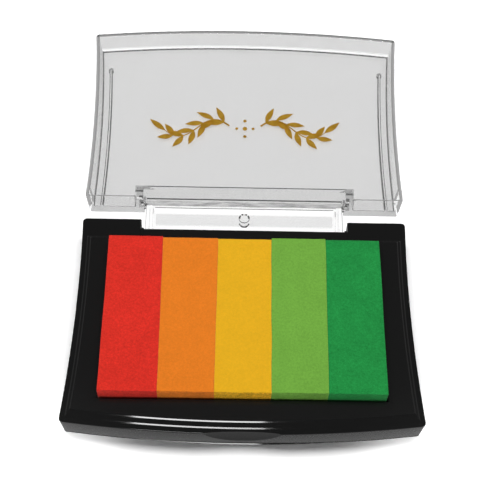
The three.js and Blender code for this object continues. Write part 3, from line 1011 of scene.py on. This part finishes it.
def build_link(*looks):
    """Sections across X: a whole rod along the lid's pivot line, a flat web, and the lower part of
    a rod along the tray's. The web's top rises into a thicker block at each end, sinks a little in
    a panel, and carries the ring of the moulding gate, whose arcs are painted near black as dark
    lines. Faint dark lines are painted across each block."""
    panel_half = LINK_HALF - PANEL_SIDE_MARGIN
    panel_y0 = TRAY_AXIS_Y + PANEL_ROD_MARGIN
    panel_y1 = LID_AXIS_Y - PANEL_ROD_MARGIN
    ring_y = (TRAY_AXIS_Y + LID_AXIS_Y) / 2 + GATE_RING_OFFSET
    block_x = LINK_HALF - BLOCK_LENGTH

    x = np.unique(np.concatenate([
        about(0.0, LINK_HALF, 60),
        about(0.0, NEAR_RING, 60),
        about(block_x, BLOCK_EDGE, 24),
        about(-block_x, BLOCK_EDGE, 24),
    ]).round(9))[:, None]
    reach = math.sqrt(ROD_RADIUS ** 2 - WEB_TOP ** 2)
    y = np.unique(np.concatenate([
        np.linspace(TRAY_AXIS_Y - reach, LID_AXIS_Y - reach, 44),
        about(ring_y, NEAR_RING, 60),
        about(panel_y0, PANEL_EDGE, 8),
        about(panel_y1, PANEL_EDGE, 8),
    ]).round(9))
    share = ((y - y[0]) / (y[-1] - y[0]))[::-1][None, :]

    block = smooth_step((np.abs(x) - block_x) / BLOCK_EDGE + 0.5)
    flat = (WEB_TOP + BLOCK_TOP) * block - WEB_TOP
    meet = math.pi - np.arcsin(flat / ROD_RADIUS)
    under = math.asin(WEB_UNDER / ROD_RADIUS)

    def panel_share(xs, ys):
        """One inside the panel, nought outside, with soft edges."""
        insides = panel_half - np.abs(xs), ys - panel_y0, panel_y1 - ys
        return math.prod(smooth_step(inside / PANEL_EDGE) for inside in insides)

    def off_ring(xs, ys, nearer):
        """How far a point is off the middle of the ring's width."""
        return np.abs(np.hypot(xs, ys - ring_y + nearer) - GATE_RING_RADIUS + GATE_RING_WIDTH / 2)

    def gate_ring(xs, ys):
        """Height of the ring: a rounded ridge at its radius."""
        off = off_ring(xs, ys, 0.0) / (GATE_RING_WIDTH / 2)
        return GATE_RING_HEIGHT * smooth_step((RING_END - off) / RING_SOFT)

    turns = np.linspace(0, 1, 48)[None, :]
    lid_rod = under - math.pi + (meet + math.pi - under) * turns
    tray_rod = meet + (2 * math.pi - under - meet) * turns
    top_start = LID_AXIS_Y + ROD_RADIUS * np.cos(meet)
    top_end = TRAY_AXIS_Y + ROD_RADIUS * np.cos(meet)
    top = (top_start + (top_end - top_start) * (1 - share))[:, 1:-1]
    bottom = np.linspace(TRAY_AXIS_Y + ROD_RADIUS * math.cos(under),
                         LID_AXIS_Y - ROD_RADIUS * math.cos(under), 100)[1:-1]
    bottom = np.tile(bottom, (len(x), 1))
    section_y = np.concatenate([
        LID_AXIS_Y + ROD_RADIUS * np.cos(lid_rod), top,
        TRAY_AXIS_Y + ROD_RADIUS * np.cos(tray_rod), bottom], 1)
    section_z = AXIS_HEIGHT + np.concatenate([
        ROD_RADIUS * np.sin(lid_rod), flat - PANEL_SINK * panel_share(x, top) + gate_ring(x, top),
        ROD_RADIUS * np.sin(tray_rod), np.full_like(bottom, -WEB_UNDER)], 1)
    points = np.stack([np.broadcast_to(x, section_z.shape), section_y, section_z], -1)

    middle = (points + np.roll(points, -1, 1)) / 2
    mx, my, mz = np.moveaxis((middle[1:] + middle[:-1]) / 2, -1, 0)
    finish = np.where(panel_share(mx, my) > 0.5, LINK_PANEL_AND_PAINTED_LINES, LINK_PLAIN)
    # Faint dark lines painted across each block.
    for out in PAINTED_BLOCK_LINES:
        finish[np.abs(np.abs(mx) - block_x - out) < PAINTED_BLOCK_LINE_HALF] = LINK_PANEL_AND_PAINTED_LINES
    finish[my > LID_AXIS_Y - ROD_RADIUS * 1.02] = LINK_ROD
    upper = mz > AXIS_HEIGHT - (WEB_TOP + WEB_UNDER) / 2
    # The ring's arcs are painted near black as dark lines.
    for on_top, nearer, half, least, most in PAINTED_RING_ARCS:
        bearing = np.degrees(np.abs(np.arctan2(mx, my - ring_y + nearer)))
        on_arc = (bearing > least) & (bearing < most) & (off_ring(mx, my, nearer) < half)
        finish[on_arc & (upper == on_top)] = LINK_PAINTED_RING
    link = skin("link_bar", points, "caps", "link", looks, finish)
    pins = (PIN_RADIUS, LINK_HALF - PIN_ROOT, LINK_HALF + PIN_LENGTH)
    shaped(link, "UNION", bars(*pins, TRAY_AXIS_Y) + bars(*pins, LID_AXIS_Y))
    smooth(link)
    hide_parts("hinge_link")


# Foam pads.

# How far each line between pads stands off its even place, at the back and at the front.
PAD_LINE_DRIFT = [(-0.25, -0.25), (-0.2, 0.2), (0.15, -0.1), (0.0, -0.2), (0.1, -0.4), (0.1, 0.0)]
WANDER_HEIGHT = 0.02 * MM
WANDER_RATES = (60, 420)
LINE_SEED, ALONG_SEED, ACROSS_SEED = 11, 31, 51
GRID_STEPS = (44, 110, 20)
SAME_PLACE = 1e-6


def closing(count):
    """From -1 to 1 in steps that grow small towards both ends."""
    return np.sin(np.linspace(-1, 1, count) * math.pi / 2)


def wander(y, seed):
    """A slow random wave along y, a few hundredths of a millimetre high: four sines."""
    numbers = np.random.default_rng(seed)
    waves = numbers.uniform(*WANDER_RATES, 4)[:, None]
    phases = numbers.uniform(0, 2 * math.pi, 4)[:, None]
    sines = np.sin(waves * np.ravel(y)[None, :] + phases)
    return WANDER_HEIGHT * sines.sum(0).reshape(np.shape(y))


def pad_line(i, y, back_y, front_y):
    """Where the line before pad i runs at y: between its drift at the back and at the front."""
    lines = len(PAD_LINE_DRIFT) - 1
    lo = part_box("pad_red")[0][0]
    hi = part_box("pad_green")[1][0]
    share = np.clip((y - front_y) / (back_y - front_y), 0, 1)
    back, front = PAD_LINE_DRIFT[i]
    drift = (front + (back - front) * share) * MM
    return lo + (hi - lo) * i / lines + drift + wander(y, LINE_SEED + i)


def build_pad(i, name, taller, longer, material):
    """A foam block: grids over the six faces of a box, each point held inside the box drawn in by
    the edge radius and pushed out by that radius. Its sides then follow the lines between pads."""
    lo, hi = (np.array(corner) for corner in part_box(f"pad_{name}"))
    hi = hi + np.array([0, longer, taller]) * MM
    middle = (lo + hi) / 2
    half = (hi - lo) / 2
    points = []
    faces = []
    start = 0
    for axis in range(3):
        u, v = [a for a in range(3) if a != axis]
        shape = GRID_STEPS[u], GRID_STEPS[v]
        for side in (-1, 1):
            grid = np.zeros((*shape, 3))
            grid[..., u] = closing(shape[0])[:, None]
            grid[..., v] = closing(shape[1])[None, :]
            grid[..., axis] = side
            index = start + np.arange(shape[0] * shape[1]).reshape(shape)
            quads = np.stack([index[:-1, :-1], index[1:, :-1], index[1:, 1:], index[:-1, 1:]], -1)
            quads = quads.reshape(-1, 4)
            if side * (-1) ** axis < 0:
                quads = quads[:, ::-1]
            points.append(grid.reshape(-1, 3) * half)
            faces.append(quads)
            start += index.size
    p = np.concatenate(points)
    core = np.clip(p, PAD_EDGE_ROUND - half, half - PAD_EDGE_ROUND)
    out = p - core
    length = np.maximum(np.linalg.norm(out, axis=1, keepdims=True), 1e-12)
    p = core + out / length * PAD_EDGE_ROUND + middle

    left = pad_line(i, p[:, 1], hi[1], lo[1]) + PAD_TOUCH / 2
    right = pad_line(i + 1, p[:, 1], hi[1], lo[1]) - PAD_TOUCH / 2
    share = (p[:, 0] - lo[0]) / (hi[0] - lo[0])
    p[:, 0] = left + (right - left) * share
    upper = np.clip((p[:, 2] - lo[2]) / (hi[2] - lo[2]), 0, 1)
    p[:, 2] += upper * (wander(p[:, 1], ALONG_SEED + i) + wander(p[:, 0] * 2, ACROSS_SEED + i))

    pad = piece(f"foam_{name}", p, np.concatenate(faces).tolist(), "tray", [material])
    work = bmesh.new()
    work.from_mesh(pad.data)
    bmesh.ops.remove_doubles(work, verts=work.verts, dist=SAME_PLACE)
    bmesh.ops.recalc_face_normals(work, faces=work.faces)
    work.to_mesh(pad.data)
    work.free()
    pad.data.shade_smooth()
    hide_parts(f"pad_{name}")


# The object.

# The height on the lid's walls where their tint changes: below it a nearly clear band is a
# painted bright line, and above it the walls are tinted greyer.
PAINTED_WALL_BAND = 2.6 * MM

tray_black = black_plastic("tray_black", 0.005, 0.07, 0.02, 0.0006 * MM)
satin_black = black_plastic("satin_black", 0.012, 0.45, 0.12, 0.004 * MM)
wall_black = black_plastic("wall_black", 0.006, 0.26, 0.1, 0.006 * MM,
                           grain=1.6, shine=0.3, foot_gloss=0.9)
deck_black = black_plastic("deck_black", 0.0085, 0.16, 0.04, 0.0006 * MM, shine=0.2)
thumb_black = black_plastic("thumb_black", 0.006, 0.15, 0.05, 0.001 * MM, shine=0.2)
lid_clear = clear_plastic("lid_clear", 0.69, 0.95)
# A nearly clear band low on the walls is a painted bright line; above it the walls are grey, and
# the side walls are painted lighter than the rest.
wall_with_painted_band = clear_plastic("wall_with_painted_band", 0.96, 0.85, (PAINTED_WALL_BAND, 0.62))
side_wall_painted_lighter = clear_plastic("side_wall_painted_lighter", 0.96, 0.85, (PAINTED_WALL_BAND, 0.9))
# A painted faint dark line for the rim's outer edge.
faint_painted_line = clear_plastic("faint_painted_line", 0.3, 0.95)
link_clear = clear_plastic("link_clear", 0.97, 0.97, bend=1.2)
# The gate ring's arcs, painted near black.
ring_arcs_painted_dark = clear_plastic("ring_arcs_painted_dark", 0.006, 0.9)
# The sunk panel, and the faint lines painted across the link's blocks.
panel_and_painted_lines = clear_plastic("panel_and_painted_lines", 0.8, 0.97)
# The rod's dark outlines and grey streaks are painted shade.
clear_rod_painted = clear_plastic("clear_rod_painted", 0.95, 0.97, bend=1.02, with_painted_rod_shade=True)
back_clear = clear_plastic("back_clear", 0.93, 0.97, bend=1.05)
# Painted near-black lines, where the lid's plastic would turn the light away.
near_black_painted_lines = clear_plastic("near_black_painted_lines", 0.05, 0.9)

build_tray(tray_black, wall_black, deck_black, thumb_black)
build_link(link_clear, panel_and_painted_lines, clear_rod_painted, ring_arcs_painted_dark)
build_lid(lid_clear, wall_with_painted_band, near_black_painted_lines, faint_painted_line, back_clear, side_wall_painted_lighter)
build_ornament(gold_ink("gold_ink"))
for i, (name, (colour, grain, cut_grain, taller, longer)) in enumerate(PADS.items()):
    build_pad(i, name, taller, longer, foam(f"ink_{name}", colour, grain, cut_grain))
for name, node in nodes.items():
    if name.startswith("carrier_") or name == "base_floor":
        node.data.materials.clear()
        node.data.materials.append(satin_black)


# Table, light and camera.

TABLE_HALF = 3.0
TABLE_DROP = 0.02 * MM
TABLE_TONE = 0.97
TABLE_SHOWN = 1.3
TABLE_LIFT = 0.24
TABLE_IN_GLOSS = 0.15
TABLE_GLOSS_LIFT = 0.29
TABLE_FADES = (0.3, 0.7)


def white_table():
    """A wide table that shows white and keeps the object's shadow. The camera sees it a little
    brighter than it is. What shows of it through clear plastic is lifted, and in black gloss it is
    mirrored as an even grey with little of the shadow. Far from the object, where the lamps don't
    reach, the camera sees it glow white."""
    corners = TABLE_HALF * np.array([(-1, -1), (1, -1), (1, 1), (-1, 1)])
    material, tree, shader, output = blank_material("white_table")
    path = put(tree, "LightPath").outputs
    seen = path["Is Camera Ray"]
    through = path["Is Transmission Ray"]
    mirrored = times(tree, path["Is Glossy Ray"], maths(tree, "SUBTRACT", 1.0, through))
    kept = maths(tree, "SUBTRACT", 1.0, times(tree, mirrored, 1 - TABLE_IN_GLOSS))
    tone = times(tree, remap(tree, seen, (0.0, 1.0), (TABLE_TONE, TABLE_SHOWN)), kept)
    plain = put(tree, "BsdfDiffuse", {"Color": grey(tree, tone)})
    away = put(tree, "VectorMath", {0: own_place(tree)}, operation="LENGTH").outputs["Value"]
    far_glow = times(tree, remap(tree, away, TABLE_FADES, (0.0, 1.0)), seen)
    glow = maths(tree, "ADD", times(tree, through, TABLE_LIFT),
                 times(tree, mirrored, TABLE_GLOSS_LIFT))
    lift = put(tree, "Emission", {"Strength": maths(tree, "ADD", glow, far_glow)})
    both = put(tree, "AddShader", {0: plain.outputs[0], 1: lift.outputs[0]})
    feed(tree, output, {"Surface": both.outputs[0]})
    tree.nodes.remove(shader)
    piece("table", ring(corners, -TABLE_DROP), [(0, 1, 2, 3)], looks=[material])


def aimed(name, kind, place, target, power):
    """A lamp at a place, turned to a target, that isn't mirrored in gloss."""
    light = bpy.data.lights.new(name, kind)
    light.energy = power
    thing = placed(name, light)
    thing.location = place
    aim = Vector(target) - Vector(place)
    thing.rotation_euler = aim.to_track_quat("-Z", "Y").to_euler()
    thing.visible_glossy = False
    return thing, light


def softbox(name, place, target, size, power, highlight_only=False):
    """A soft lamp of a width and a height. One for the highlight alone lights nothing else."""
    thing, light = aimed(name, "AREA", place, target, power)
    light.shape = "RECTANGLE"
    light.size, light.size_y = size
    if highlight_only:
        thing.visible_glossy = True
        thing.visible_diffuse = False


def soft_beam(name, place, target, radius, power):
    """A round beam that fades from its middle to a radius at its target."""
    _, light = aimed(name, "SPOT", place, target, power)
    light.spot_size = 2 * math.atan(radius / (Vector(target) - Vector(place)).length)
    light.spot_blend = 1.0
    light.shadow_soft_size = 0.01


WHITE = (1.0, 1.0, 1.0, 1.0)
# The pale sweep round the table: between which heights it fades, and its light there.
SWEEP_HEIGHTS = (0.03, 0.2)
SWEEP_LIGHT = (0.6, 0.12)


def studio_world():
    """White where the camera looks past the table. Everything else sees a pale sweep low down
    that fades into a dim room overhead."""
    world = bpy.data.worlds.new("studio")
    bpy.context.scene.world = world
    world.use_nodes = True
    tree = world.node_tree
    tree.nodes.clear()
    height = upward(tree, put(tree, "TexCoord").outputs["Generated"])
    fade = remap(tree, height, SWEEP_HEIGHTS, SWEEP_LIGHT)
    room = put(tree, "Background", {"Color": WHITE, "Strength": fade})
    seen = put(tree, "Background", {"Color": WHITE, "Strength": 1.0})
    mix = put(tree, "MixShader", {0: put(tree, "LightPath").outputs["Is Camera Ray"],
                                  1: room.outputs[0], 2: seen.outputs[0]})
    put(tree, "OutputWorld", {"Surface": mix.outputs[0]})


# The camera that puts about seventy corners and edges of the model over the photograph's, to
# about a pixel. Turns are from straight ahead along Y: down, to the right, and rolled.
CAMERA_PLACE = (-4.49 * MM, -146.95 * MM, 289.88 * MM)
CAMERA_DOWN = math.radians(58.75)
CAMERA_RIGHT = math.radians(2.07)
CAMERA_ROLL = math.radians(2.72)
FOCAL_PIXELS = 1131.7
PHOTO_PIXELS = 500
SENSOR = 36.0


def photo_camera():
    """The camera at the photograph's angle, from its place, its turns and its focal length."""
    data = bpy.data.cameras.new("camera")
    data.sensor_width = SENSOR
    data.lens = FOCAL_PIXELS / PHOTO_PIXELS * SENSOR
    data.clip_start = 0.01
    data.clip_end = 20.0
    camera = placed("camera", data)
    camera.matrix_world = (
        Matrix.Translation(CAMERA_PLACE) @ Matrix.Rotation(-CAMERA_RIGHT, 4, "Z")
        @ Matrix.Rotation(math.pi / 2 - CAMERA_DOWN, 4, "X") @ Matrix.Rotation(CAMERA_ROLL, 4, "Z"))
    bpy.context.scene.camera = camera


bpy.context.scene.view_settings.view_transform = "Standard"
white_table()
studio_world()
softbox("back_softbox", (0.0, 0.15, 0.8), (0, 0.03, 0), (0.8, 0.3), 6.4)
softbox("front_fill", (0.0, -0.6, 0.1), (0, -0.03, 0.01), (0.5, 0.1), 1.0)
softbox("front_strip", (-0.0535, -0.6, 0.37), (0, -0.03, 0), (0.187, 0.07), 0.83,
        highlight_only=True)
for side in (-1, 1):
    soft_beam("corner_beam", (side * 0.12, -0.12, 0.7), (side * 0.062, -0.05, 0), 0.036, 21.0)
photo_camera()
